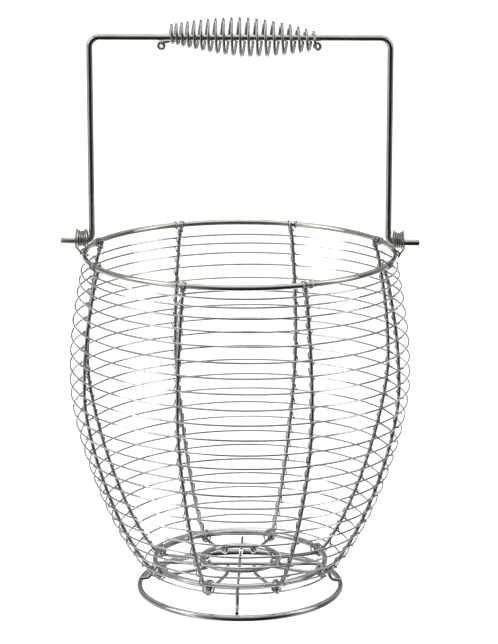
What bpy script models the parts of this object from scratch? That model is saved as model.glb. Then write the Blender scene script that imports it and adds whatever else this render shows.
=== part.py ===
"""Wire picking basket with a swinging bail and a sprung wire grip.

Eight ribs hang from a rim ring, pass under a base ring and hook on to a centre ring.
One spiral wire runs round the outside of the ribs, and a lashing wire binds it to each rib.
Two cross wires carry the base ring and stand on a foot ring.
The bail swings in two coiled ears on the rim, and a barrel-shaped coil turns on the bail's bar.

Units are metres, with +Z up. The bail's axis is X, and the basket stands on Z = 0.
"""
import math

import bpy
import bmesh
from mathutils import Matrix, Vector

# Driving dimensions. A "wire" value is a wire's diameter.
GAP = 0.0003

RIM_RADIUS = 0.1245
RIM_HEIGHT = 0.2820
RIM_WIRE = 0.0045

BASE_RADIUS = 0.0700
BASE_HEIGHT = 0.0246
BASE_WIRE = 0.0050

CENTRE_RADIUS = 0.0318
CENTRE_HEIGHT = 0.0253
CENTRE_WIRE = 0.0045

FOOT_RADIUS = 0.0828
FOOT_WIRE = 0.0052

RIB_COUNT = 8
RIB_WIRE = 0.0030
RIB_TURN = math.radians(26.0)
HOOK_CLEARANCE = 0.0002

SPIRAL_WIRE = 0.0015
SPIRAL_FIRST_DROP = 0.0120
SPIRAL_EASE_TURNS = 4
SPIRAL_STEPS = 24

LASHING_WIRE = 0.0010
WRAP_NEAR = 0.0026
WRAP_FAR = 0.0040

CROSS_WIRE = 0.0030
CROSS_HEIGHT = 0.0203

BAIL_WIRE = 0.0050
BAIL_HALF_WIDTH = 0.1186
BAIL_END = 0.1436
PIVOT_HEIGHT = 0.2916
BAR_HEIGHT = 0.4554
BAIL_FOOT_BEND = 0.0055
BAIL_TOP_BEND = 0.0080

EAR_WIRE = 0.0015
EAR_CENTRE = 0.1268
EAR_TURNS = 5
EAR_PITCH = 0.0018
EAR_END_RADIUS = 0.0080
EAR_WAIST_RADIUS = 0.0055
EAR_LIFT = 0.0019
EAR_COIL_STEPS = 10
EAR_LEG_SPREAD = 0.0012

GRIP_WIRE = 0.0023
GRIP_CENTRE = 0.0022
GRIP_HALF_LENGTH = 0.0560
GRIP_TURNS = 19
GRIP_STEPS = 10
GRIP_END_RADIUS = 0.0070
GRIP_MIDDLE_RADIUS = 0.0150
GRIP_AXIS_DROP = 0.0027
GRIP_PITCH = 0.00645
GRIP_PITCH_GAIN = 0.00125
GRIP_PITCH_LOSS = 0.0017
GRIP_MIDDLE_TURN = -0.0040
EYE_RADIUS = 0.0024
LEFT_EYE = (-0.0617, -0.0064)
RIGHT_EYE = (0.0611, -0.0064)

# The basket wall's outline, as (radius, height) at the spiral wire's centre line:
# top, belly and base, joined by two Bezier arcs with these handle lengths.
WALL_TOP = (0.1249, 0.2860)
WALL_BELLY = (0.1374, 0.1803)
WALL_BASE = (0.0745, 0.0191)
WALL_TOP_LEAN = math.radians(5)
WALL_BASE_LEAN = math.radians(50)
WALL_HANDLES = (0.0265, 0.0538, 0.0399, 0.0423)
WALL_SAMPLES = 200


# Scene and materials

def clear_scene():
    for obj in list(bpy.data.objects):
        bpy.data.objects.remove(obj, do_unlink=True)


def chrome(name, tone, roughness):
    material = bpy.data.materials.new(name)
    material.use_nodes = True
    shader = material.node_tree.nodes["Principled BSDF"]
    shader.inputs["Base Color"].default_value = (tone, tone, tone * 0.975, 1.0)
    shader.inputs["Metallic"].default_value = 1.0
    shader.inputs["Roughness"].default_value = roughness
    return material


# Wires and rings

def wire(name, points, diameter, material, smooth_level=1, origin=(0.0, 0.0, 0.0)):
    """A round wire along the points: a bevelled curve with filled ends."""
    curve = bpy.data.curves.new(name, "CURVE")
    curve.dimensions = "3D"
    curve.bevel_depth = diameter / 2
    curve.bevel_resolution = smooth_level
    curve.use_fill_caps = True
    spline = curve.splines.new("POLY")
    spline.points.add(len(points) - 1)
    for knot, point in zip(spline.points, points):
        knot.co = (*(Vector(point) - Vector(origin)), 1.0)
    spline.use_smooth = True
    curve.materials.append(material)
    obj = bpy.data.objects.new(name, curve)
    obj.location = origin
    bpy.context.collection.objects.link(obj)
    return obj


def ring(name, radius, height, diameter, material, steps, sides=6):
    """A closed ring: a polygon with a flat lowest side, spun round Z."""
    mesh = bpy.data.meshes.new(name)
    shape = bmesh.new()
    half_side = math.pi / sides
    placing = (Matrix.Translation((radius, 0.0, 0.0))
               @ Matrix.Rotation(math.pi / 2, 4, "X")
               @ Matrix.Rotation(half_side - math.pi / 2, 4, "Z"))
    bmesh.ops.create_circle(shape, segments=sides, radius=diameter / 2, matrix=placing)
    bmesh.ops.spin(shape, geom=shape.verts[:] + shape.edges[:], cent=(0, 0, 0), axis=(0, 0, 1),
                   angle=2 * math.pi, steps=steps, use_merge=True)
    bmesh.ops.remove_doubles(shape, verts=shape.verts, dist=1e-6)
    bmesh.ops.recalc_face_normals(shape, faces=shape.faces)
    shape.to_mesh(mesh)
    shape.free()
    mesh.shade_smooth()
    mesh.materials.append(material)
    obj = bpy.data.objects.new(name, mesh)
    obj.location = (0.0, 0.0, height)
    bpy.context.collection.objects.link(obj)
    return obj


def arc(centre, radius, start, end, count):
    """Points on an arc in a plane, from start to end in degrees."""
    points = []
    for i in range(count + 1):
        angle = math.radians(start + (end - start) * i / count)
        points.append((centre[0] + radius * math.cos(angle), centre[1] + radius * math.sin(angle)))
    return points


def bezier(a, b, c, d, t):
    s = 1 - t
    return tuple(s ** 3 * a[k] + 3 * s * s * t * b[k] + 3 * s * t * t * c[k] + t ** 3 * d[k]
                 for k in range(len(a)))


# The wall's outline by arc length

class Outline:
    """The wall's outline, read by the distance run down it from the top."""

    def __init__(self):
        top_handle, belly_up, belly_down, base_handle = WALL_HANDLES
        after_top = (WALL_TOP[0] + top_handle * math.sin(WALL_TOP_LEAN),
                     WALL_TOP[1] - top_handle * math.cos(WALL_TOP_LEAN))
        before_belly = (WALL_BELLY[0], WALL_BELLY[1] + belly_up)
        after_belly = (WALL_BELLY[0], WALL_BELLY[1] - belly_down)
        before_base = (WALL_BASE[0] + base_handle * math.sin(WALL_BASE_LEAN),
                       WALL_BASE[1] + base_handle * math.cos(WALL_BASE_LEAN))
        self.points = []
        for i in range(WALL_SAMPLES):
            self.points.append(bezier(WALL_TOP, after_top, before_belly, WALL_BELLY, i / WALL_SAMPLES))
        for i in range(WALL_SAMPLES + 1):
            self.points.append(bezier(WALL_BELLY, after_belly, before_base, WALL_BASE, i / WALL_SAMPLES))
        self.runs = [0.0]
        for a, b in zip(self.points, self.points[1:]):
            self.runs.append(self.runs[-1] + math.dist(a, b))
        self.length = self.runs[-1]

    def at(self, run):
        """The point at a run, and the outward normal there, as (radius, height) pairs."""
        run = min(max(run, 0.0), self.length)
        i = 0
        while i < len(self.runs) - 2 and self.runs[i + 1] < run:
            i += 1
        a, b = self.points[i], self.points[i + 1]
        step = self.runs[i + 1] - self.runs[i]
        share = (run - self.runs[i]) / step
        point = (a[0] + (b[0] - a[0]) * share, a[1] + (b[1] - a[1]) * share)
        normal = ((a[1] - b[1]) / step, (b[0] - a[0]) / step)
        return point, normal

    def inside(self, run, depth):
        """The point at a run, moved inwards from the spiral wire's centre line."""
        point, normal = self.at(run)
        return (point[0] - normal[0] * depth, point[1] - normal[1] * depth)


WALL = Outline()
RIB_DEPTH = SPIRAL_WIRE / 2 + RIB_WIRE / 2 + GAP
RIM_HOOK = RIM_WIRE / 2 + RIB_WIRE / 2 + GAP + HOOK_CLEARANCE
RIB_WALL_START = 0.016


def rib_angle(index):
    return RIB_TURN + 2 * math.pi * index / RIB_COUNT


def at_angle(angle, pairs):
    """Turn (radius, height) pairs into points in the upright plane at an angle."""
    return [(radius * math.cos(angle), radius * math.sin(angle), height) for radius, height in pairs]


# Ribs

def rib_outline():
    """One rib's centre line: inside the rim, wall, spoke under the base ring, centre ring hook."""
    centre_hook = CENTRE_WIRE / 2 + RIB_WIRE / 2 + GAP + HOOK_CLEARANCE
    base_bend = BASE_WIRE / 2 + RIB_WIRE / 2 + GAP + HOOK_CLEARANCE
    under_base = BASE_HEIGHT - base_bend
    points = arc((RIM_RADIUS, RIM_HEIGHT), RIM_HOOK, 155, 180, 1)
    wall_steps = 17
    for i in range(wall_steps + 1):
        run = RIB_WALL_START + (WALL.length - RIB_WALL_START) * i / wall_steps
        points.append(WALL.inside(run, RIB_DEPTH))
    points += arc((BASE_RADIUS, BASE_HEIGHT), base_bend, -60, -90, 2)
    points.append((BASE_RADIUS - 0.008, under_base))
    points.append((CENTRE_RADIUS + 0.012, CENTRE_HEIGHT - centre_hook - 0.0006))
    points += arc((CENTRE_RADIUS, CENTRE_HEIGHT), centre_hook, -90, -205, 4)
    return points


def make_ribs(material):
    outline = rib_outline()
    for index in range(RIB_COUNT):
        wire(f"rib_{index + 1}", at_angle(rib_angle(index), outline), RIB_WIRE, material)


# Spiral wire

def spiral_run(turn):
    """How far down the wall the spiral has come after a number of turns from the front."""
    pitch = (WALL.length - SPIRAL_FIRST_DROP) / (SPIRAL_END - SPIRAL_EASE_TURNS / 4)
    if turn < SPIRAL_EASE_TURNS:
        return SPIRAL_FIRST_DROP + pitch * (turn / 2 + turn * abs(turn) / (4 * SPIRAL_EASE_TURNS))
    return SPIRAL_FIRST_DROP + pitch * (turn - SPIRAL_EASE_TURNS / 4)


FRONT = math.radians(270)
SPIRAL_FIRST_RIB = 4
SPIRAL_LAST_RIB = 7
SPIRAL_START = (rib_angle(SPIRAL_FIRST_RIB) - FRONT) / (2 * math.pi)
SPIRAL_END = 23 + (rib_angle(SPIRAL_LAST_RIB) - FRONT) / (2 * math.pi)


def make_spiral(material):
    steps = round((SPIRAL_END - SPIRAL_START) * SPIRAL_STEPS)
    points = []
    for i in range(steps + 1):
        turn = SPIRAL_START + i / SPIRAL_STEPS
        (radius, height), _ = WALL.at(spiral_run(turn))
        angle = FRONT + 2 * math.pi * turn
        points.append((radius * math.cos(angle), radius * math.sin(angle), height))
    wire("spiral_wire", points, SPIRAL_WIRE, material, smooth_level=0)


# Lashing wires

def crossings(index):
    """The runs at which the spiral wire crosses a rib, without those by the rim and the base ring."""
    offset = (rib_angle(index) - FRONT) / (2 * math.pi)
    turn = offset - math.floor(offset - SPIRAL_START + 1e-6) + 1
    runs = []
    while turn < SPIRAL_END - 1:
        runs.append(spiral_run(turn))
        turn += 1
    return runs


def rib_at(run):
    """The rib's centre line at a run, straight between the rim hook and the wall."""
    share = min((run - WALL_TOP[1] + RIM_HEIGHT) / (RIB_WALL_START - WALL_TOP[1] + RIM_HEIGHT), 1.0)
    low = WALL.inside(max(run, RIB_WALL_START), RIB_DEPTH)
    high = (RIM_RADIUS - RIM_HOOK, RIM_HEIGHT)
    return (high[0] + (low[0] - high[0]) * share, high[1] + (low[1] - high[1]) * share)


def round_rib(index, run, outward, across, centre_line):
    """A place beside a rib: so far out from the wall and so far sideways, in reaches of the lashing wire."""
    beside = RIB_WIRE / 2 + LASHING_WIRE / 2 + GAP
    angle = rib_angle(index)
    normal = WALL.at(run)[1]
    point = rib_at(run) if centre_line is rib_at else WALL.at(run)[0]
    radius = point[0] + normal[0] * outward * beside
    height = point[1] + normal[1] * outward * beside
    place = Vector((radius * math.cos(angle), radius * math.sin(angle), height))
    return place + Vector((-math.sin(angle), math.cos(angle), 0.0)) * across * beside


def rim_wrap(index):
    """A lashing's start: a turn round the rim on one side of the rib, then outside to a turn on the other."""
    reach = RIM_WIRE / 2 + LASHING_WIRE / 2 + GAP + 2 * HOOK_CLEARANCE
    angle = rib_angle(index)
    sideways = Vector((-math.sin(angle), math.cos(angle), 0.0))
    stretches = ((135, -270, -WRAP_FAR, -WRAP_NEAR), (-270, -450, -WRAP_NEAR, WRAP_NEAR),
                 (-450, -810, WRAP_NEAR, WRAP_FAR))
    points = []
    for start, end, low, high in stretches:
        steps = round((start - end) / 45)
        for i in range(steps):
            share = i / steps
            around = math.radians(start + (end - start) * share)
            radius = RIM_RADIUS + reach * math.cos(around)
            height = RIM_HEIGHT + reach * math.sin(around)
            place = Vector((radius * math.cos(angle), radius * math.sin(angle), height))
            points.append(place + sideways * (low + (high - low) * share))
    points.append(round_rib(index, 0.0082, 0.1, 1.35, rib_at))
    points.append(round_rib(index, 0.0088, -0.95, 0.75, rib_at))
    return points


def lashing_points(index):
    """A lashing: one turn round the rib for each crossing, over the spiral wire outside."""
    over_spiral = (SPIRAL_WIRE / 2 + LASHING_WIRE / 2 + 3 * GAP) / (RIB_WIRE / 2 + LASHING_WIRE / 2 + GAP)
    points = []
    runs = crossings(index)
    for number, run in enumerate(runs):
        before = runs[number - 1] if number else 2 * run - runs[1]
        after = runs[number + 1] if number + 1 < len(runs) else 2 * run - before
        up = run - before
        down = after - run
        turn = ((-0.40 * up, -0.95, -0.75, rib_at),
                (-min(0.38 * up, 0.0030), 0.55, -1.3, rib_at),
                (0.0, over_spiral, 0.0, WALL.at),
                (min(0.38 * down, 0.0030), 0.55, 1.3, rib_at),
                (0.40 * down, -0.95, 0.75, rib_at))
        for along, outward, across, centre_line in turn:
            points.append(round_rib(index, run + along, outward, across, centre_line))
    return points


def make_lashings(material):
    for index in range(RIB_COUNT):
        path = rim_wrap(index) + lashing_points(index)
        wire(f"lashing_{index + 1}", path, LASHING_WIRE, material, smooth_level=0)


# Cross wires, from one side of the foot ring to the other

def make_cross_wires(material):
    foot_top = FOOT_WIRE / 2 * (math.cos(math.pi / 8) + 1) + 1.5 * GAP
    toe = foot_top + CROSS_WIRE / 2
    leg = [(FOOT_RADIUS + 0.0004, toe), (FOOT_RADIUS - 0.0040, toe + 0.0001),
           (BASE_RADIUS + 0.0060, toe + 0.0009), (BASE_RADIUS + 0.0040, toe + 0.0034),
           (BASE_RADIUS + 0.0026, 0.0150), (BASE_RADIUS + 0.0016, 0.0184),
           (BASE_RADIUS - 0.0012, CROSS_HEIGHT)]
    arch = CROSS_WIRE + 3 * GAP
    for name, angle, rise in (("cross_wire_side", 0.0, 0.0), ("cross_wire_front", math.pi / 2, arch)):
        half = leg + [(CENTRE_RADIUS + 0.008, CROSS_HEIGHT + 0.08 * rise),
                      (CENTRE_RADIUS - 0.001, CROSS_HEIGHT + 0.16 * rise),
                      (0.0220, CROSS_HEIGHT + 0.55 * rise), (0.0120, CROSS_HEIGHT + 0.90 * rise),
                      (0.0040, CROSS_HEIGHT + rise)]
        far_half = [(-radius, height) for radius, height in reversed(half)]
        wire(name, at_angle(angle, half + far_half), CROSS_WIRE, material)


# Ears

def ear_leg(side, start, end, steps):
    """The part of a leg that lies round the rim, from start to end in degrees, to one side of the middle."""
    reach = RIM_WIRE / 2 + EAR_WIRE / 2 + GAP + HOOK_CLEARANCE
    return [(radius, side * EAR_LEG_SPREAD, height)
            for radius, height in arc((RIM_RADIUS, RIM_HEIGHT), reach, start, end, steps)]


def ear_points(side):
    """One ear: a waisted coil round the bail's end, on two legs that meet outside the rim and hook under it."""
    centre = PIVOT_HEIGHT + EAR_LIFT
    half_length = EAR_TURNS * EAR_PITCH / 2
    coil = []
    steps = EAR_TURNS * EAR_COIL_STEPS
    for i in range(steps + 1):
        share = 2 * i / steps - 1
        radius = EAR_WAIST_RADIUS + (EAR_END_RADIUS - EAR_WAIST_RADIUS) * abs(share) ** 1.5
        angle = 2 * math.pi * (i / EAR_COIL_STEPS - 0.25)
        coil.append((EAR_CENTRE + share * half_length,
                     radius * math.cos(angle), centre + radius * math.sin(angle)))
    bottom = centre - EAR_END_RADIUS
    inner_leg = [(EAR_CENTRE - half_length + 0.0003, -0.0020, bottom + 0.0002)]
    outer_leg = [(EAR_CENTRE + half_length - 0.0007, 0.0018, bottom - 0.0004),
                 (EAR_CENTRE + half_length - 0.0022, 0.0016, bottom - 0.0024)]
    points = ear_leg(-1, -145, 75, 6) + inner_leg + coil + outer_leg + ear_leg(1, -15, -145, 4)
    return [(side * x, y, z) for x, y, z in points]


def make_ears(material):
    wire("right_ear", ear_points(1), EAR_WIRE, material)
    wire("left_ear", ear_points(-1), EAR_WIRE, material)


# Bail and grip

def make_bail(material, pivot):
    foot = (BAIL_HALF_WIDTH + BAIL_FOOT_BEND, PIVOT_HEIGHT + BAIL_FOOT_BEND)
    top = (BAIL_HALF_WIDTH - BAIL_TOP_BEND, BAR_HEIGHT - BAIL_TOP_BEND)
    half = [(BAIL_END, PIVOT_HEIGHT)]
    half += arc(foot, BAIL_FOOT_BEND, -90, -180, 5)
    half += [(BAIL_HALF_WIDTH, (PIVOT_HEIGHT + BAR_HEIGHT) / 2)]
    half += arc(top, BAIL_TOP_BEND, 0, 90, 6)
    far_half = [(-x, z) for x, z in reversed(half)]
    points = [(x, 0.0, z) for x, z in half + far_half]
    bail = wire("bail", points, BAIL_WIRE, material, smooth_level=2, origin=tuple(pivot.location))
    bail.location = (0.0, 0.0, 0.0)
    bail.parent = pivot
    return bail


def grip_point(turn):
    """A point of the coil, in the bar's frame: turn 0 is its first crest and GRIP_TURNS its last."""
    share = 2 * turn / GRIP_TURNS - 1
    along = GRIP_MIDDLE_TURN + GRIP_TURNS / 2 * (GRIP_PITCH * share + GRIP_PITCH_GAIN * share ** 2 / 2
                                                 - GRIP_PITCH_LOSS * share ** 3 / 3)
    place = (along - GRIP_CENTRE) / GRIP_HALF_LENGTH
    fullness = 1 - min(abs(place), 1.0) ** (1.55 if place < 0 else 1.8)
    radius = GRIP_END_RADIUS + (GRIP_MIDDLE_RADIUS - GRIP_END_RADIUS) * fullness
    angle = 2 * math.pi * (turn + 0.25)
    lean = math.atan(GRIP_AXIS_DROP / GRIP_HALF_LENGTH)
    return (along + radius * math.sin(angle) * math.sin(lean), radius * math.cos(angle),
            radius * math.sin(angle) * math.cos(lean) - GRIP_AXIS_DROP * place)


def eye(centre, start, sweep, drift):
    """The small eye that ends the coil, below the bar: from start, by sweep degrees, drifting in Y."""
    points = []
    steps = 11
    for i in range(steps + 1):
        angle = math.radians(start + sweep * i / steps)
        points.append((centre[0] + EYE_RADIUS * math.cos(angle), drift[0] + (drift[1] - drift[0]) * i / steps,
                       centre[1] + EYE_RADIUS * math.sin(angle)))
    return points


def make_grip(material, axle):
    left = list(reversed(eye(LEFT_EYE, 75, 380, (0.0002, -0.0030))))
    first, last = -0.42, GRIP_TURNS + 0.33
    steps = round((last - first) * GRIP_STEPS)
    coil = [grip_point(first + (last - first) * i / steps) for i in range(steps + 1)]
    right = eye(RIGHT_EYE, -105, 380, (-0.0026, 0.0010))
    placed = [(x, y, z + BAR_HEIGHT) for x, y, z in left + coil + right]
    grip = wire("grip_coil", placed, GRIP_WIRE, material, origin=(0.0, 0.0, BAR_HEIGHT))
    grip.location = (0.0, 0.0, 0.0)
    grip.parent = axle
    return grip


def empty(name, location, parent=None):
    obj = bpy.data.objects.new(name, None)
    obj.location = location
    obj.parent = parent
    bpy.context.collection.objects.link(obj)
    return obj


def main():
    clear_scene()
    heavy = chrome("heavy_wire_chrome", 0.80, 0.10)
    rib = chrome("rib_wire_chrome", 0.76, 0.14)
    thin = chrome("spiral_wire_chrome", 0.78, 0.12)
    lashing = chrome("lashing_wire_chrome", 0.72, 0.18)
    ear = chrome("ear_wire_chrome", 0.74, 0.15)
    bail = chrome("bail_wire_chrome", 0.80, 0.08)
    grip = chrome("grip_wire_chrome", 0.78, 0.12)

    ring("rim_ring", RIM_RADIUS, RIM_HEIGHT, RIM_WIRE, heavy, steps=56)
    ring("base_ring", BASE_RADIUS, BASE_HEIGHT, BASE_WIRE, heavy, steps=40)
    ring("centre_ring", CENTRE_RADIUS, CENTRE_HEIGHT, CENTRE_WIRE, heavy, steps=24)
    foot_height = FOOT_WIRE / 2 * math.cos(math.pi / 8)
    ring("foot_ring", FOOT_RADIUS, foot_height, FOOT_WIRE, heavy, steps=48, sides=8)

    make_ribs(rib)
    make_spiral(thin)
    make_lashings(lashing)
    make_cross_wires(heavy)
    make_ears(ear)

    bail_axis = empty("bail_axis", (0.0, 0.0, PIVOT_HEIGHT))
    grip_axis = empty("grip_axis", (0.0, 0.0, BAR_HEIGHT - PIVOT_HEIGHT), bail_axis)
    make_bail(bail, bail_axis)
    make_grip(grip, grip_axis)


main()
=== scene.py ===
import math

import bmesh
import bpy
from mathutils import Matrix, Vector


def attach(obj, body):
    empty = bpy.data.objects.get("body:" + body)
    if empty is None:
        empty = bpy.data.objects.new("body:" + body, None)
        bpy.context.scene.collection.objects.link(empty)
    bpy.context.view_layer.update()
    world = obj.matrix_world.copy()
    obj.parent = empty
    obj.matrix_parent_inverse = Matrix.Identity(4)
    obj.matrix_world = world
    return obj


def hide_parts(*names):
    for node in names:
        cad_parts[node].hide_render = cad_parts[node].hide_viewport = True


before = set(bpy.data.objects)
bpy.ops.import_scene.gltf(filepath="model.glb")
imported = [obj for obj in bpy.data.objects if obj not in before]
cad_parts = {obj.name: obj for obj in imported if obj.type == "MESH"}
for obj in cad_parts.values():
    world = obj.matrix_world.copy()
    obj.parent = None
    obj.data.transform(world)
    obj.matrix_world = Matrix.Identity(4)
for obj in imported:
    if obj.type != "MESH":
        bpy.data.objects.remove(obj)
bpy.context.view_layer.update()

MM = 0.001


# Wires as meshes

# A cut end's small round edge, outermost first: (radii past the end, share of the radius)
CUT_EDGE = ((0.16, 0.80), (0.10, 0.94))
SHARP_ANGLE = math.radians(40)


def frames_along(points, closed):
    """A tangent and a side vector at each point, turned as little as possible between points."""
    count = len(points)
    tangents = []
    for i in range(count):
        if closed:
            step = points[(i + 1) % count] - points[i - 1]
        else:
            step = points[min(i + 1, count - 1)] - points[max(i - 1, 0)]
        tangents.append(step.normalized())
    first = tangents[0]
    side = first.cross(Vector((0, 0, 1)))
    if side.length < 0.1:
        side = first.cross(Vector((1, 0, 0)))
    sides = [side.normalized()]
    for i in range(1, count):
        turn = tangents[i - 1].rotation_difference(tangents[i])
        moved = turn @ sides[-1]
        moved -= tangents[i] * moved.dot(tangents[i])
        sides.append(moved.normalized())
    if closed:
        back = tangents[-1].rotation_difference(tangents[0]) @ sides[-1]
        error = back.cross(sides[0]).dot(tangents[0])
        slip = math.atan2(error, back.dot(sides[0]))
        for i in range(count):
            sides[i] = Matrix.Rotation(slip * i / count, 3, tangents[i]) @ sides[i]
    return tangents, sides


def tube(name, points, diameter, sides=12, closed=False, swell=None):
    """A round wire along the points. swell(i) scales the radius. Open ends are cut square."""
    radius = diameter / 2
    tangents, across = frames_along(points, closed)
    rows = []
    for i, point in enumerate(points):
        scale = swell(i) if swell else 1.0
        rows.append((point, tangents[i], across[i], radius * scale))
    if not closed:
        first, last = rows[0], rows[-1]
        start = [(first[0] - first[1] * radius * past, *first[1:3], radius * share)
                 for past, share in CUT_EDGE]
        end = [(last[0] + last[1] * radius * past, *last[1:3], radius * share)
               for past, share in reversed(CUT_EDGE)]
        rows = start + rows + end
    shape = bmesh.new()
    loops = []
    for point, tangent, side, size in rows:
        up = tangent.cross(side)
        loop = []
        for k in range(sides):
            angle = 2 * math.pi * k / sides
            outward = side * math.cos(angle) + up * math.sin(angle)
            loop.append(shape.verts.new(point + outward * size))
        loops.append(loop)
    pairs = list(zip(loops, loops[1:]))
    if closed:
        pairs.append((loops[-1], loops[0]))
    for a, b in pairs:
        for k in range(sides):
            j = (k + 1) % sides
            shape.faces.new((a[k], a[j], b[j], b[k]))
    if not closed:
        shape.faces.new(list(reversed(loops[0])))
        shape.faces.new(loops[-1])
    bmesh.ops.recalc_face_normals(shape, faces=shape.faces)
    mesh = bpy.data.meshes.new(name)
    shape.to_mesh(mesh)
    shape.free()
    mesh.shade_smooth()
    mesh.set_sharp_from_angle(angle=SHARP_ANGLE)
    obj = bpy.data.objects.new(name, mesh)
    bpy.context.collection.objects.link(obj)
    return obj


def smooth_path(points, step):
    """Points about a step apart on a smooth curve through the given ones."""
    ends = [points[0] * 2 - points[1]] + list(points) + [points[-1] * 2 - points[-2]]
    path = []
    for i in range(1, len(ends) - 2):
        a, b, c, d = ends[i - 1:i + 3]
        pieces = max(1, round((c - b).length / step))
        before = max((b - a).length, 1e-6) ** 0.5
        here = max((c - b).length, 1e-6) ** 0.5
        after = max((d - c).length, 1e-6) ** 0.5
        lead = ((b - a) / before - (c - a) / (before + here) + (c - b) / here) * here
        trail = ((c - b) / here - (d - b) / (here + after) + (d - c) / after) * here
        for k in range(pieces):
            t = k / pieces
            path.append(b * (2 * t ** 3 - 3 * t * t + 1) + lead * (t ** 3 - 2 * t * t + t)
                        + c * (3 * t * t - 2 * t ** 3) + trail * (t ** 3 - t * t))
    path.append(points[-1].copy())
    return path


def arc(centre, radius, start, end, count):
    """(across, up) pairs on an arc, from start to end in degrees."""
    pairs = []
    for i in range(count + 1):
        angle = math.radians(start + (end - start) * i / count)
        pairs.append((centre[0] + radius * math.cos(angle),
                      centre[1] + radius * math.sin(angle)))
    return pairs


def at_angle(angle, pairs):
    """Turn (radius, height) pairs into points in the upright plane at an angle."""
    return [Vector((r * math.cos(angle), r * math.sin(angle), z)) for r, z in pairs]


# The basket's measures, as in the CAD. The lashings and the ears' legs lie a fraction of a
# millimetre closer than there.

GAP = 0.0003
HOOK_CLEARANCE = 0.0002
RIM_RADIUS, RIM_HEIGHT, RIM_WIRE = 0.1245, 0.2820, 0.0045
BASE_RADIUS, BASE_HEIGHT, BASE_WIRE = 0.0700, 0.0246, 0.0050
CENTRE_RADIUS, CENTRE_HEIGHT, CENTRE_WIRE = 0.0318, 0.0253, 0.0045
FOOT_RADIUS, FOOT_WIRE = 0.0828, 0.0052
RIB_COUNT = 8
RIB_WIRE = 0.0030
RIB_TURN = math.radians(26.0)
SPIRAL_WIRE = 0.0015
LASHING_WIRE = 0.0010
WRAP_NEAR, WRAP_FAR = 0.0025, 0.0039
CROSS_WIRE, CROSS_HEIGHT = 0.0030, 0.0203
PIVOT_HEIGHT, BAR_HEIGHT = 0.2916, 0.4554

WALL_TOP = (0.1249, 0.2860)
WALL_BELLY = (0.1374, 0.1803)
WALL_BASE = (0.0745, 0.0191)
WALL_TOP_LEAN = math.radians(5)
WALL_BASE_LEAN = math.radians(50)
WALL_HANDLES = (0.0265, 0.0538, 0.0399, 0.0423)
WALL_SAMPLES = 200


def bezier(a, b, c, d, t):
    s = 1 - t
    return tuple(s ** 3 * a[k] + 3 * s * s * t * b[k] + 3 * s * t * t * c[k] + t ** 3 * d[k]
                 for k in range(len(a)))


class Outline:
    """The wall's outline, read by the distance run down it from the top."""

    def __init__(self):
        top_handle, belly_up, belly_down, base_handle = WALL_HANDLES
        after_top = (WALL_TOP[0] + top_handle * math.sin(WALL_TOP_LEAN),
                     WALL_TOP[1] - top_handle * math.cos(WALL_TOP_LEAN))
        before_belly = (WALL_BELLY[0], WALL_BELLY[1] + belly_up)
        after_belly = (WALL_BELLY[0], WALL_BELLY[1] - belly_down)
        before_base = (WALL_BASE[0] + base_handle * math.sin(WALL_BASE_LEAN),
                       WALL_BASE[1] + base_handle * math.cos(WALL_BASE_LEAN))
        upper = (WALL_TOP, after_top, before_belly, WALL_BELLY)
        lower = (WALL_BELLY, after_belly, before_base, WALL_BASE)
        self.points = [bezier(*upper, i / WALL_SAMPLES) for i in range(WALL_SAMPLES)]
        self.points += [bezier(*lower, i / WALL_SAMPLES) for i in range(WALL_SAMPLES + 1)]
        self.runs = [0.0]
        for a, b in zip(self.points, self.points[1:]):
            self.runs.append(self.runs[-1] + math.dist(a, b))
        self.length = self.runs[-1]

    def at(self, run):
        """The point at a run, and the outward normal there, as (radius, height) pairs."""
        run = min(max(run, 0.0), self.length)
        low, high = 0, len(self.runs) - 2
        while low < high:
            middle = (low + high) // 2
            if self.runs[middle + 1] < run:
                low = middle + 1
            else:
                high = middle
        a, b = self.points[low], self.points[low + 1]
        step = self.runs[low + 1] - self.runs[low]
        share = (run - self.runs[low]) / step
        point = (a[0] + (b[0] - a[0]) * share, a[1] + (b[1] - a[1]) * share)
        normal = ((a[1] - b[1]) / step, (b[0] - a[0]) / step)
        return point, normal

    def inside(self, run, depth):
        """The point at a run, moved inwards from the spiral wire's centre line."""
        point, normal = self.at(run)
        return (point[0] - normal[0] * depth, point[1] - normal[1] * depth)


def rib_reach(wire):
    """From a ring's centre line to that of a rib bent round it."""
    return wire / 2 + RIB_WIRE / 2 + GAP + HOOK_CLEARANCE


WALL = Outline()
RIB_DEPTH = SPIRAL_WIRE / 2 + RIB_WIRE / 2 + GAP
RIM_HOOK = rib_reach(RIM_WIRE)
RIB_WALL_START = 0.016


def rib_angle(index):
    return RIB_TURN + math.pi / 4 * index


# Materials

CLOUD_SCALE, SCUFF_SCALE, SPECK_SCALE, RIPPLE_SCALE = 55.0, 620.0, 210.0, 140.0
DULL_SHARE = 0.80
GRIME_COLOUR = (0.16, 0.15, 0.13, 1.0)
GRIME_ROUGHNESS = 0.35
POLISH_RANGE = (0.5, 1.6)
SCUFF_BUMP = (0.14, 0.00012)
RIPPLE_BUMP = (0.20, 0.0005)


def node(tree, kind, **values):
    made = tree.nodes.new(kind)
    for name, value in values.items():
        setattr(made, name, value)
    return made


def noise(tree, coordinates, scale, detail=3.0, roughness=0.55):
    made = node(tree, "ShaderNodeTexNoise")
    made.inputs["Scale"].default_value = scale
    made.inputs["Detail"].default_value = detail
    made.inputs["Roughness"].default_value = roughness
    tree.links.new(coordinates, made.inputs["Vector"])
    return made.outputs["Fac"]


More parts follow.
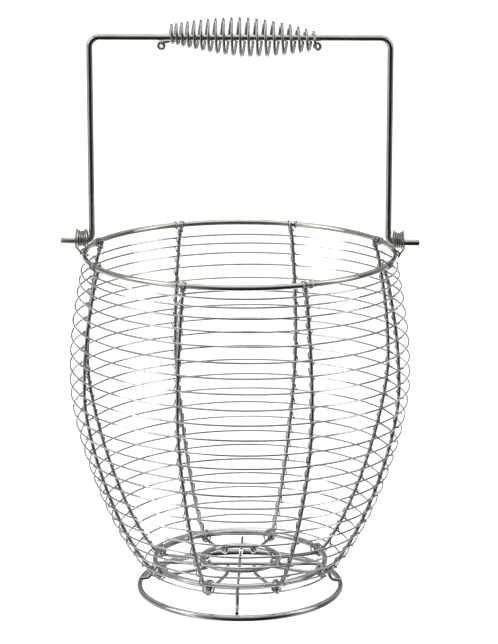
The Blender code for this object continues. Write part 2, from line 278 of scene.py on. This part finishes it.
def ramp(tree, factor, stops):
    made = node(tree, "ShaderNodeValToRGB")
    elements = made.color_ramp.elements
    while len(elements) < len(stops):
        elements.new(0.5)
    for element, (place, colour) in zip(elements, stops):
        element.position = place
        element.color = (*colour, 1.0)
    tree.links.new(factor, made.inputs["Fac"])
    return made.outputs["Color"]


def remap(tree, factor, low, high, to_low, to_high):
    made = node(tree, "ShaderNodeMapRange")
    values = {"From Min": low, "From Max": high, "To Min": to_low, "To Max": to_high}
    for name, value in values.items():
        made.inputs[name].default_value = value
    tree.links.new(factor, made.inputs["Value"])
    return made.outputs["Result"]


def bump(tree, height, strength, distance):
    made = node(tree, "ShaderNodeBump")
    made.inputs["Strength"].default_value = strength
    made.inputs["Distance"].default_value = distance
    tree.links.new(height, made.inputs["Height"])
    return made


def plated(name, tone, roughness, tint, grime, draw=(1.0, 1.0, 1.0)):
    """Chrome plate on drawn wire: cloudy tone, uneven polish, fine scuffs, and specks of grime.

    grime is how much the specks cover, and draw stretches the scuffs along the wire.
    """
    material = bpy.data.materials.new(name)
    material.use_nodes = True
    tree = material.node_tree
    shader = tree.nodes["Principled BSDF"]
    shader.inputs["Metallic"].default_value = 1.0
    coordinates = node(tree, "ShaderNodeTexCoord").outputs["Object"]
    stretch = node(tree, "ShaderNodeMapping")
    stretch.inputs["Scale"].default_value = draw
    tree.links.new(coordinates, stretch.inputs["Vector"])

    clouds = noise(tree, coordinates, CLOUD_SCALE)
    scuffs = noise(tree, stretch.outputs["Vector"], SCUFF_SCALE, detail=5.0, roughness=0.7)
    specks = noise(tree, coordinates, SPECK_SCALE, detail=6.0, roughness=0.75)

    bright = tuple(tone * t for t in tint)
    dull = tuple(tone * DULL_SHARE * t for t in tint)
    plate = ramp(tree, clouds, ((0.30, dull), (0.62, bright)))
    dirt = remap(tree, specks, 0.60, 0.72, 0.0, grime)
    mix = node(tree, "ShaderNodeMix", data_type="RGBA")
    mix.inputs["B"].default_value = GRIME_COLOUR
    tree.links.new(dirt, mix.inputs["Factor"])
    tree.links.new(plate, mix.inputs["A"])
    tree.links.new(mix.outputs["Result"], shader.inputs["Base Color"])

    smoothest, roughest = (roughness * share for share in POLISH_RANGE)
    polish = remap(tree, scuffs, 0.35, 0.70, smoothest, roughest)
    rough = node(tree, "ShaderNodeMath", operation="MULTIPLY_ADD")
    rough.inputs[1].default_value = GRIME_ROUGHNESS
    tree.links.new(dirt, rough.inputs[0])
    tree.links.new(polish, rough.inputs[2])
    tree.links.new(rough.outputs["Value"], shader.inputs["Roughness"])

    fine = bump(tree, scuffs, *SCUFF_BUMP)
    ripple = bump(tree, noise(tree, coordinates, RIPPLE_SCALE, detail=1.0), *RIPPLE_BUMP)
    tree.links.new(fine.outputs["Normal"], ripple.inputs["Normal"])
    tree.links.new(ripple.outputs["Normal"], shader.inputs["Normal"])
    return material


NEUTRAL = (1.0, 0.995, 0.975)
WARM = (1.0, 0.975, 0.91)
HEAVY = plated("heavy_wire_plate", 0.70, 0.07, NEUTRAL, 0.30)
RIM = plated("rim_wire_plate", 0.76, 0.07, WARM, 0.30)
RIB = plated("rib_wire_plate", 0.66, 0.13, NEUTRAL, 0.55, draw=(1.0, 1.0, 0.15))
SPIRAL = plated("spiral_wire_plate", 0.80, 0.13, NEUTRAL, 0.30, draw=(0.3, 0.3, 1.0))
LASHING = plated("lashing_wire_plate", 0.60, 0.18, NEUTRAL, 0.60)
# Painted shade: the ears' plate has a lower tone than the other wires, so that their legs look dark
# as if in shade. Its clouds, scuffs and grime specks are the wire's own.
EAR_PLATE_PAINTED_SHADE = plated("ear_wire_plate_painted_shade", 0.42, 0.14, WARM, 0.55)
BAIL = plated("bail_wire_plate", 0.68, 0.06, WARM, 0.30, draw=(0.3, 1.0, 0.3))
GRIP = plated("grip_wire_plate", 0.52, 0.10, NEUTRAL, 0.40)


def finish_piece(obj, material, slot, body, *nodes):
    """Give a piece its material and its body, and let it stand for its CAD nodes. Its slot is not
    used.
    """
    obj.data.materials.append(material)
    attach(obj, body)
    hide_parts(*nodes)
    return obj


# Rings

BEAD_RISE = 0.07
BEAD_LENGTH = 0.35


def make_ring(name, material, radius, height, diameter, steps, sides, weld):
    """A ring of butt-welded wire: a small bead where its ends meet, at the weld angle."""
    points = []
    for i in range(steps):
        angle = 2 * math.pi * i / steps + weld
        points.append(Vector((radius * math.cos(angle), radius * math.sin(angle), height)))
    spacing = 2 * math.pi * radius / steps

    def bead(i):
        away = min(i, steps - i) * spacing
        return 1.0 + BEAD_RISE * math.exp(-(away / (BEAD_LENGTH * diameter)) ** 2)

    ring = tube(f"{name}_wire", points, diameter, sides, closed=True, swell=bead)
    finish_piece(ring, material, "heavy_wire", "basket", name)


make_ring("rim_ring", RIM, RIM_RADIUS, RIM_HEIGHT, RIM_WIRE,
          steps=240, sides=20, weld=math.radians(118))
make_ring("base_ring", HEAVY, BASE_RADIUS, BASE_HEIGHT, BASE_WIRE,
          steps=180, sides=20, weld=math.radians(52))
make_ring("centre_ring", HEAVY, CENTRE_RADIUS, CENTRE_HEIGHT, CENTRE_WIRE,
          steps=120, sides=16, weld=math.radians(140))
make_ring("foot_ring", HEAVY, FOOT_RADIUS, FOOT_WIRE / 2, FOOT_WIRE,
          steps=200, sides=20, weld=math.radians(130))


# Ribs

RIB_STRETCHES = 30


def rib_pairs():
    """One rib's centre line: inside the rim, wall, spoke under the base ring, centre ring hook."""
    base_bend = rib_reach(BASE_WIRE)
    centre_hook = rib_reach(CENTRE_WIRE)
    pairs = arc((RIM_RADIUS, RIM_HEIGHT), RIM_HOOK, 155, 180, 3)
    for i in range(RIB_STRETCHES + 1):
        run = RIB_WALL_START + (WALL.length - RIB_WALL_START) * i / RIB_STRETCHES
        pairs.append(WALL.inside(run, RIB_DEPTH))
    pairs += arc((BASE_RADIUS, BASE_HEIGHT), base_bend, -60, -90, 4)
    pairs.append((BASE_RADIUS - 0.008, BASE_HEIGHT - base_bend))
    pairs.append((CENTRE_RADIUS + 0.012, CENTRE_HEIGHT - centre_hook - 0.0006))
    pairs += arc((CENTRE_RADIUS, CENTRE_HEIGHT), centre_hook, -90, -205, 8)
    return pairs


for index in range(RIB_COUNT):
    path = smooth_path(at_angle(rib_angle(index), rib_pairs()), 1.6 * MM)
    rib = tube(f"rib_{index + 1}_wire", path, RIB_WIRE, 12)
    finish_piece(rib, RIB, "rib_wire", "basket", f"rib_{index + 1}")


# Spiral wire

FRONT = math.radians(270)
SPIRAL_FIRST_DROP = 0.0120
SPIRAL_EASE_TURNS = 4
SPIRAL_FIRST_RIB = 4
SPIRAL_LAST_RIB = 7
SPIRAL_FULL_TURNS = 23
SPIRAL_START = (rib_angle(SPIRAL_FIRST_RIB) - FRONT) / (2 * math.pi)
SPIRAL_END = SPIRAL_FULL_TURNS + (rib_angle(SPIRAL_LAST_RIB) - FRONT) / (2 * math.pi)
SPIRAL_STEPS_PER_TURN = 96
SPIRAL_SAG = 0.25 * MM


def spiral_run(turn):
    """How far down the wall the spiral has come after a number of turns from the front.

    Its pitch grows from half to full over the first SPIRAL_EASE_TURNS turns.
    """
    pitch = (WALL.length - SPIRAL_FIRST_DROP) / (SPIRAL_END - SPIRAL_EASE_TURNS / 4)
    if turn < SPIRAL_EASE_TURNS:
        return SPIRAL_FIRST_DROP + pitch * (turn / 2 + turn * abs(turn) / (4 * SPIRAL_EASE_TURNS))
    return SPIRAL_FIRST_DROP + pitch * (turn - SPIRAL_EASE_TURNS / 4)


def spiral_points():
    """The spiral's centre line, which sags or rises a little between ribs."""
    steps = round((SPIRAL_END - SPIRAL_START) * SPIRAL_STEPS_PER_TURN)
    points = []
    for i in range(steps + 1):
        turn = SPIRAL_START + (SPIRAL_END - SPIRAL_START) * i / steps
        (radius, height), _ = WALL.at(spiral_run(turn))
        angle = FRONT + 2 * math.pi * turn
        between_ribs = math.sin(4 * (angle - RIB_TURN)) ** 2
        sag = SPIRAL_SAG * between_ribs * math.sin(2.3 * turn + angle)
        points.append(Vector((radius * math.cos(angle), radius * math.sin(angle), height + sag)))
    return points


finish_piece(tube("spiral_wall_wire", spiral_points(), SPIRAL_WIRE, 8),
             SPIRAL, "spiral_wire", "basket", "spiral_wire")


# Lashing wires

LASHING_CLEARANCE = 0.0001
LASHING_TOP_RUN = 0.0066
LASHING_STEPS = 20
CLOSE_TURNS = 3
CLOSE_PITCH = 1.25 * MM
FIRST_CROSSING_ROOM = 1.5 * MM
WRAP_DEGREES_PER_STEP = 20

# One loop of the base knot in mm: along the ring, along the rib, and down from the ring
KNOT_LOOP = ((0.0, 0.0, 6.75), (2.3, 2.2, 4.6), (2.7, 3.2, 1.0), (1.5, 1.7, -2.7),
             (0.0, 0.0, -3.25), (-1.5, -1.7, -2.7), (-2.7, -3.2, 1.0), (-2.3, -2.2, 4.6))
# The knot's four loops: two one way, and two over them the other way (mirror, sideways shift, lift)
KNOT_LOOPS = ((1, 0.62, 0.0), (1, -0.62, 0.0), (-1, 0.62, 1.02), (-1, -0.62, 1.02))
KNOT_LEAN = math.radians(-72)
KNOT_SHIFT = 0.7


def rib_at(run):
    """The rib's centre line at a run, straight between its end inside the rim and the wall."""
    share = min((run - WALL_TOP[1] + RIM_HEIGHT) / (RIB_WALL_START - WALL_TOP[1] + RIM_HEIGHT), 1.0)
    low = WALL.inside(max(run, RIB_WALL_START), RIB_DEPTH)
    high = (RIM_RADIUS - RIM_HOOK, RIM_HEIGHT)
    return (high[0] + (low[0] - high[0]) * share, high[1] + (low[1] - high[1]) * share)


def crossings(index):
    """The runs at which the spiral wire crosses a rib."""
    turn = (rib_angle(index) - FRONT) / (2 * math.pi)
    turn -= math.floor(turn - SPIRAL_START + 1e-6)
    runs = []
    while turn < SPIRAL_END - 0.99:
        runs.append(spiral_run(turn))
        turn += 1
    return runs


def round_rib(index, run, phase, reach):
    """A place beside a rib: phase 0 is straight out from the wall, a quarter turn is sideways."""
    centre = rib_at(run)
    normal = WALL.at(run)[1]
    out = reach * math.cos(phase)
    angle = rib_angle(index)
    radius, height = centre[0] + normal[0] * out, centre[1] + normal[1] * out
    place = Vector((radius * math.cos(angle), radius * math.sin(angle), height))
    sideways = Vector((-math.sin(angle), math.cos(angle), 0.0))
    return place + sideways * (reach * math.sin(phase))


def rim_wrap(index):
    """A lashing's start: a turn round the rim on each side of the rib."""
    reach = RIM_WIRE / 2 + LASHING_WIRE / 2 + LASHING_CLEARANCE
    angle = rib_angle(index)
    sideways = Vector((-math.sin(angle), math.cos(angle), 0.0))
    # Round the rim from and to, in degrees, and to the side of the rib from and to
    stretches = ((150, -270, -WRAP_FAR, -WRAP_NEAR), (-270, -450, -WRAP_NEAR, WRAP_NEAR),
                 (-450, -790, WRAP_NEAR, WRAP_FAR))
    points = []
    for start, end, low, high in stretches:
        steps = round((start - end) / WRAP_DEGREES_PER_STEP)
        for i in range(steps):
            share = i / steps
            around = math.radians(start + (end - start) * share)
            radius = RIM_RADIUS + reach * math.cos(around)
            height = RIM_HEIGHT + reach * math.sin(around)
            place = Vector((radius * math.cos(angle), radius * math.sin(angle), height))
            points.append(place + sideways * (low + (high - low) * share))
    return points


def base_knot(index):
    """Crossed loops that bind a rib to the base ring, in order from the wall."""
    angle = rib_angle(index)
    outward = Vector((math.cos(angle), math.sin(angle), 0.0))
    along_ring = Vector((-math.sin(angle), math.cos(angle), 0.0))
    apart = outward * math.cos(KNOT_LEAN) + Vector((0, 0, math.sin(KNOT_LEAN)))
    along_rib = apart.cross(along_ring)
    centre = outward * BASE_RADIUS + Vector((0, 0, BASE_HEIGHT))
    furthest = KNOT_LOOP[0][2]
    points = []
    for mirror, shift, lift in KNOT_LOOPS:
        for u, v, w in KNOT_LOOP:
            grow = 1 + lift * (0.28 if w < furthest else 0.15)
            across = Vector((u * mirror, v)) * grow + Vector((-1, mirror)) * shift * KNOT_SHIFT
            out = apart * w * (1 + 0.16 * lift * (abs(w) / furthest + (w < 0)))
            points.append(centre + (along_ring * across.x + along_rib * across.y + out) * MM)
    return points


def lashing_path(index):
    """Round the rim, close turns under it, a turn round the rib at each crossing, the base knot."""
    beside = RIB_WIRE / 2 + LASHING_WIRE / 2 + LASHING_CLEARANCE
    over = RIB_DEPTH + SPIRAL_WIRE / 2 + LASHING_WIRE / 2 + 2 * LASHING_CLEARANCE
    # A station is the run at which a turn starts, and 1 where the turn goes over the spiral wire
    stations = [(LASHING_TOP_RUN + CLOSE_PITCH * k, 0.0) for k in range(CLOSE_TURNS)]
    close_end = LASHING_TOP_RUN + CLOSE_PITCH * CLOSE_TURNS
    stations += [(run, 1.0) for run in crossings(index) if run > close_end + FIRST_CROSSING_ROOM]
    stations.append((2 * stations[-1][0] - stations[-2][0], 1.0))
    points = []
    for number, (run, rides) in enumerate(stations[:-1]):
        next_run, next_rides = stations[number + 1]
        for i in range(LASHING_STEPS // 4 if number == 0 else 0, LASHING_STEPS):
            share = i / LASHING_STEPS
            phase = 2 * math.pi * share
            over_here = max(0.0, math.cos(phase)) ** 2
            rides_here = rides if share < 0.5 else next_rides
            place = run + (next_run - run) * (share - 0.06 * math.sin(2 * phase) * rides_here)
            gap = math.dist(rib_at(place), WALL.at(place)[0]) - RIB_DEPTH
            reach = beside + (over + gap - beside) * over_here * rides_here
            points.append(round_rib(index, place, phase, reach))
    return rim_wrap(index) + points + base_knot(index)


for index in range(RIB_COUNT):
    path = smooth_path(lashing_path(index), 0.55 * MM)
    lashing = tube(f"lashing_{index + 1}_wire", path, LASHING_WIRE, 6)
    finish_piece(lashing, LASHING, "lashing_wire", "basket", f"lashing_{index + 1}")


# Cross wires

def cross_pairs(rise):
    """One cross wire's centre line, from foot ring to foot ring, raised in the middle by rise."""
    foot_top = FOOT_WIRE / 2 * (math.cos(math.pi / 8) + 1) + 1.5 * GAP
    toe = foot_top + CROSS_WIRE / 2
    leg = [(FOOT_RADIUS + 0.0004, toe), (FOOT_RADIUS - 0.0040, toe + 0.0001),
           (BASE_RADIUS + 0.0060, toe + 0.0009), (BASE_RADIUS + 0.0040, toe + 0.0034),
           (BASE_RADIUS + 0.0026, 0.0150), (BASE_RADIUS + 0.0016, 0.0184),
           (BASE_RADIUS - 0.0012, CROSS_HEIGHT)]
    half = leg + [(CENTRE_RADIUS + 0.008, CROSS_HEIGHT + 0.08 * rise),
                  (CENTRE_RADIUS - 0.001, CROSS_HEIGHT + 0.16 * rise),
                  (0.0220, CROSS_HEIGHT + 0.55 * rise), (0.0120, CROSS_HEIGHT + 0.90 * rise),
                  (0.0040, CROSS_HEIGHT + rise)]
    return half + [(-radius, height) for radius, height in reversed(half)]


for name, angle, rise in (("side", 0.0, 0.0), ("front", math.pi / 2, CROSS_WIRE + 3 * GAP)):
    path = smooth_path(at_angle(angle, cross_pairs(rise)), 1.5 * MM)
    finish_piece(tube(f"cross_{name}_wire", path, CROSS_WIRE, 12),
                 HEAVY, "heavy_wire", "basket", f"cross_wire_{name}")


# Ears

EAR_WIRE = 0.0015
EAR_CENTRE = 0.1268
EAR_TURNS = 5
EAR_PITCH = 0.0018
EAR_END_RADIUS = 0.0080
EAR_WAIST_RADIUS = 0.0055
EAR_LIFT = 0.0019
EAR_LEG_SPREAD = 0.0011
EAR_LEG_CLEARANCE = 0.0002
EAR_STEPS_PER_TURN = 30


def ear_leg(side, start, end, steps):
    """The part of a leg that lies round the rim, from start to end in degrees, to one side."""
    reach = RIM_WIRE / 2 + EAR_WIRE / 2 + EAR_LEG_CLEARANCE
    return [Vector((radius, side * EAR_LEG_SPREAD, height))
            for radius, height in arc((RIM_RADIUS, RIM_HEIGHT), reach, start, end, steps)]


def ear_path():
    """One ear: a waisted coil round the bail's end, on two legs that hook under the rim."""
    centre = PIVOT_HEIGHT + EAR_LIFT
    half_length = EAR_TURNS * EAR_PITCH / 2
    coil = []
    steps = EAR_TURNS * EAR_STEPS_PER_TURN
    for i in range(steps + 1):
        share = 2 * i / steps - 1
        radius = EAR_WAIST_RADIUS + (EAR_END_RADIUS - EAR_WAIST_RADIUS) * abs(share) ** 1.5
        angle = 2 * math.pi * (i / EAR_STEPS_PER_TURN - 0.25)
        coil.append(Vector((EAR_CENTRE + share * half_length,
                            radius * math.cos(angle), centre + radius * math.sin(angle))))
    bottom = centre - EAR_END_RADIUS
    inner_leg = [Vector((EAR_CENTRE - half_length + 0.0003, -0.0020, bottom + 0.0002))]
    outer_leg = [Vector((EAR_CENTRE + half_length - 0.0007, 0.0018, bottom - 0.0004)),
                 Vector((EAR_CENTRE + half_length - 0.0022, 0.0016, bottom - 0.0024))]
    return ear_leg(-1, -150, 75, 10) + inner_leg + coil + outer_leg + ear_leg(1, -15, -150, 6)


for side, name in ((1, "right_ear"), (-1, "left_ear")):
    path = [Vector((side * p.x, p.y, p.z)) for p in smooth_path(ear_path(), 0.6 * MM)]
    finish_piece(tube(f"{name}_wire", path, EAR_WIRE, 10),
                 EAR_PLATE_PAINTED_SHADE, "ear_wire", "basket", name)


# Bail

BAIL_WIRE = 0.0050
BAIL_HALF_WIDTH = 0.1186
BAIL_END = 0.1436
BAIL_FOOT_BEND = 0.0055
BAIL_TOP_BEND = 0.0080


def bail_path():
    """The bail's centre line: end, foot bend, upright, top bend and bar, then the same mirrored."""
    foot = (BAIL_HALF_WIDTH + BAIL_FOOT_BEND, PIVOT_HEIGHT + BAIL_FOOT_BEND)
    top = (BAIL_HALF_WIDTH - BAIL_TOP_BEND, BAR_HEIGHT - BAIL_TOP_BEND)
    half = [(BAIL_END - 0.0004, PIVOT_HEIGHT)] + arc(foot, BAIL_FOOT_BEND, -90, -180, 12)
    straight = BAR_HEIGHT - BAIL_TOP_BEND - PIVOT_HEIGHT - BAIL_FOOT_BEND
    half += [(BAIL_HALF_WIDTH, PIVOT_HEIGHT + BAIL_FOOT_BEND + straight * k / 8)
             for k in range(1, 8)]
    half += arc(top, BAIL_TOP_BEND, 0, 90, 14)
    half += [((BAIL_HALF_WIDTH - BAIL_TOP_BEND) * k / 8, BAR_HEIGHT) for k in range(7, 0, -1)]
    pairs = half + [(0.0, BAR_HEIGHT)] + [(-x, z) for x, z in reversed(half)]
    return [Vector((x, 0.0, z)) for x, z in pairs]


finish_piece(tube("bail_handle_wire", bail_path(), BAIL_WIRE, 24),
             BAIL, "bail_wire", "bail", "bail")


# Grip coil

GRIP_WIRE = 0.0023
GRIP_CENTRE = 0.0022
GRIP_HALF_LENGTH = 0.0560
GRIP_TURNS = 19
GRIP_END_RADIUS = 0.0070
GRIP_MIDDLE_RADIUS = 0.0150
GRIP_AXIS_DROP = 0.0027
GRIP_PITCH = 0.00645
GRIP_PITCH_GAIN = 0.00125
GRIP_PITCH_LOSS = 0.0017
GRIP_MIDDLE_TURN = -0.0040
COIL_STEPS_PER_TURN = 30
COIL_FIRST_TURN = -0.42
COIL_LAST_TURN = GRIP_TURNS + 0.33
EYE_RADIUS = 0.0024
EYE_STEPS = 24
LEFT_EYE = (-0.0617, -0.0064)
RIGHT_EYE = (0.0611, -0.0064)


def grip_point(turn):
    """A point of the coil, in the bar's frame. Turn 0 is the first crest, GRIP_TURNS the last."""
    share = 2 * turn / GRIP_TURNS - 1
    along = GRIP_MIDDLE_TURN + GRIP_TURNS / 2 * (
        GRIP_PITCH * share + GRIP_PITCH_GAIN * share ** 2 / 2 - GRIP_PITCH_LOSS * share ** 3 / 3)
    place = (along - GRIP_CENTRE) / GRIP_HALF_LENGTH
    fullness = 1 - min(abs(place), 1.0) ** (1.55 if place < 0 else 1.8)
    radius = GRIP_END_RADIUS + (GRIP_MIDDLE_RADIUS - GRIP_END_RADIUS) * fullness
    angle = 2 * math.pi * (turn + 0.25)
    lean = math.atan(GRIP_AXIS_DROP / GRIP_HALF_LENGTH)
    return Vector((along + radius * math.sin(angle) * math.sin(lean),
                   radius * math.cos(angle),
                   radius * math.sin(angle) * math.cos(lean) - GRIP_AXIS_DROP * place))


def eye(centre, start, sweep, drift):
    """An eye that ends the coil, below the bar: from start, by sweep degrees, drifting in Y."""
    points = []
    for i in range(EYE_STEPS + 1):
        share = i / EYE_STEPS
        angle = math.radians(start + sweep * share)
        points.append(Vector((centre[0] + EYE_RADIUS * math.cos(angle),
                              drift[0] + (drift[1] - drift[0]) * share,
                              centre[1] + EYE_RADIUS * math.sin(angle))))
    return points


def grip_path():
    """The whole coil from eye to eye, at the bar's height."""
    left = list(reversed(eye(LEFT_EYE, 75, 380, (0.0002, -0.0030))))
    turns = COIL_LAST_TURN - COIL_FIRST_TURN
    steps = round(turns * COIL_STEPS_PER_TURN)
    coil = [grip_point(COIL_FIRST_TURN + turns * i / steps) for i in range(steps + 1)]
    right = eye(RIGHT_EYE, -105, 380, (-0.0026, 0.0010))
    return [p + Vector((0, 0, BAR_HEIGHT)) for p in left + coil + right]


finish_piece(tube("grip_coil_wire", smooth_path(grip_path(), 1.2 * MM), GRIP_WIRE, 12),
             GRIP, "grip_wire", "grip", "grip_coil")


# Floor, light and camera

# The studio as the chrome sees it, above and below the horizon: (share of the way round from -X
# through -Y, brightness)
WALL_TONES = ((0.0, 0.30), (0.06, 0.50), (0.09, 1.10), (0.12, 0.50), (0.17, 0.12), (0.20, 0.05),
              (0.30, 0.03), (0.36, 0.06), (0.43, 0.24), (0.50, 0.06), (0.58, 0.20), (0.68, 0.35),
              (0.75, 0.14), (0.82, 0.35), (0.92, 0.15), (1.0, 0.30))
TABLE_TONES = ((0.0, 0.50), (0.05, 0.30), (0.09, 1.10), (0.13, 0.30), (0.18, 0.10), (0.22, 0.02),
               (0.36, 0.015), (0.42, 0.05), (0.48, 0.55), (0.53, 0.12), (0.60, 0.20), (0.67, 0.80),
               (0.71, 2.0), (0.79, 2.0), (0.85, 0.80), (1.0, 0.50))
CEILING_TONE = 0.56
WHITE = (1.0, 1.0, 1.0, 1.0)

FLOOR_RADIUS = 40.0
FLOOR_COLOUR = (0.93, 0.93, 0.93, 1.0)
FLOOR_GLOW = 0.72

CAMERA_PLACE = (0.066, -2.1, 0.7372)
CAMERA_TURN = (76.31, 0.0, 1.60)
CAMERA_LENS = 149.9

# name, place, size, watts
SOFTBOXES = (("left_softbox", (-2.2, -0.6, 1.6), (1.2, 2.0), 12),
             ("right_softbox", (2.2, -0.3, 1.4), (1.0, 2.0), 8),
             ("top_softbox", (0.0, 0.4, 2.6), (2.4, 2.0), 10))
LIGHT_AIM = (0, 0, 0.2)


def make_floor():
    """A pale floor that glows a little to stay white, and doesn't show in the chrome."""
    mesh = bpy.data.meshes.new("floor")
    shape = bmesh.new()
    bmesh.ops.create_circle(shape, cap_ends=True, segments=96, radius=FLOOR_RADIUS)
    shape.to_mesh(mesh)
    shape.free()
    floor = bpy.data.objects.new("floor", mesh)
    bpy.context.collection.objects.link(floor)
    material = bpy.data.materials.new("floor_paper")
    material.use_nodes = True
    shader = material.node_tree.nodes["Principled BSDF"]
    shader.inputs["Base Color"].default_value = FLOOR_COLOUR
    shader.inputs["Emission Color"].default_value = WHITE
    shader.inputs["Emission Strength"].default_value = FLOOR_GLOW
    shader.inputs["Roughness"].default_value = 0.75
    shader.inputs["Specular IOR Level"].default_value = 0.2
    mesh.materials.append(material)
    floor.visible_glossy = False


def grey_ramp(tree, factor, tones):
    return ramp(tree, factor, [(place, (tone,) * 3) for place, tone in tones])


def make_world():
    """Light and dark bands for the chrome to reflect, and plain white behind it for the camera."""
    world = bpy.data.worlds.new("studio")
    bpy.context.scene.world = world
    world.use_nodes = True
    tree = world.node_tree
    background = tree.nodes["Background"]
    direction = node(tree, "ShaderNodeTexCoord").outputs["Generated"]
    parts = node(tree, "ShaderNodeSeparateXYZ")
    tree.links.new(direction, parts.inputs["Vector"])
    azimuth = node(tree, "ShaderNodeMath", operation="ARCTAN2")
    tree.links.new(parts.outputs["Y"], azimuth.inputs[0])
    tree.links.new(parts.outputs["X"], azimuth.inputs[1])
    around = remap(tree, azimuth.outputs["Value"], -math.pi, math.pi, 0.0, 1.0)
    height = parts.outputs["Z"]
    horizon = node(tree, "ShaderNodeMix", data_type="RGBA")
    tree.links.new(remap(tree, height, -0.08, 0.04, 0.0, 1.0), horizon.inputs["Factor"])
    tree.links.new(grey_ramp(tree, around, TABLE_TONES), horizon.inputs["A"])
    tree.links.new(grey_ramp(tree, around, WALL_TONES), horizon.inputs["B"])
    mix = node(tree, "ShaderNodeMix", data_type="RGBA")
    mix.inputs["B"].default_value = (CEILING_TONE, CEILING_TONE, CEILING_TONE, 1.0)
    tree.links.new(remap(tree, height, 0.35, 0.75, 0.0, 1.0), mix.inputs["Factor"])
    tree.links.new(horizon.outputs["Result"], mix.inputs["A"])
    tree.links.new(mix.outputs["Result"], background.inputs["Color"])
    background.inputs["Strength"].default_value = 1.0
    white = node(tree, "ShaderNodeBackground")
    white.inputs["Color"].default_value = WHITE
    choose = node(tree, "ShaderNodeMixShader")
    seen_by_camera = node(tree, "ShaderNodeLightPath").outputs["Is Camera Ray"]
    tree.links.new(seen_by_camera, choose.inputs["Fac"])
    tree.links.new(background.outputs["Background"], choose.inputs[1])
    tree.links.new(white.outputs["Background"], choose.inputs[2])
    tree.links.new(choose.outputs["Shader"], tree.nodes["World Output"].inputs["Surface"])


def make_light(name, place, size, power):
    light = bpy.data.lights.new(name, "AREA")
    light.shape = "RECTANGLE"
    light.size, light.size_y = size
    light.energy = power
    obj = bpy.data.objects.new(name, light)
    obj.location = place
    toward = Vector(LIGHT_AIM) - Vector(place)
    obj.rotation_euler = toward.to_track_quat("-Z", "Y").to_euler()
    bpy.context.collection.objects.link(obj)


def make_camera():
    data = bpy.data.cameras.new("camera")
    data.lens = CAMERA_LENS
    data.sensor_width = 36.0
    data.clip_end = 100.0
    camera = bpy.data.objects.new("camera", data)
    camera.location = CAMERA_PLACE
    camera.rotation_euler = [math.radians(turn) for turn in CAMERA_TURN]
    bpy.context.collection.objects.link(camera)
    bpy.context.scene.camera = camera


make_floor()
make_world()
for softbox in SOFTBOXES:
    make_light(*softbox)
make_camera()
bpy.context.scene.view_settings.view_transform = "Standard"
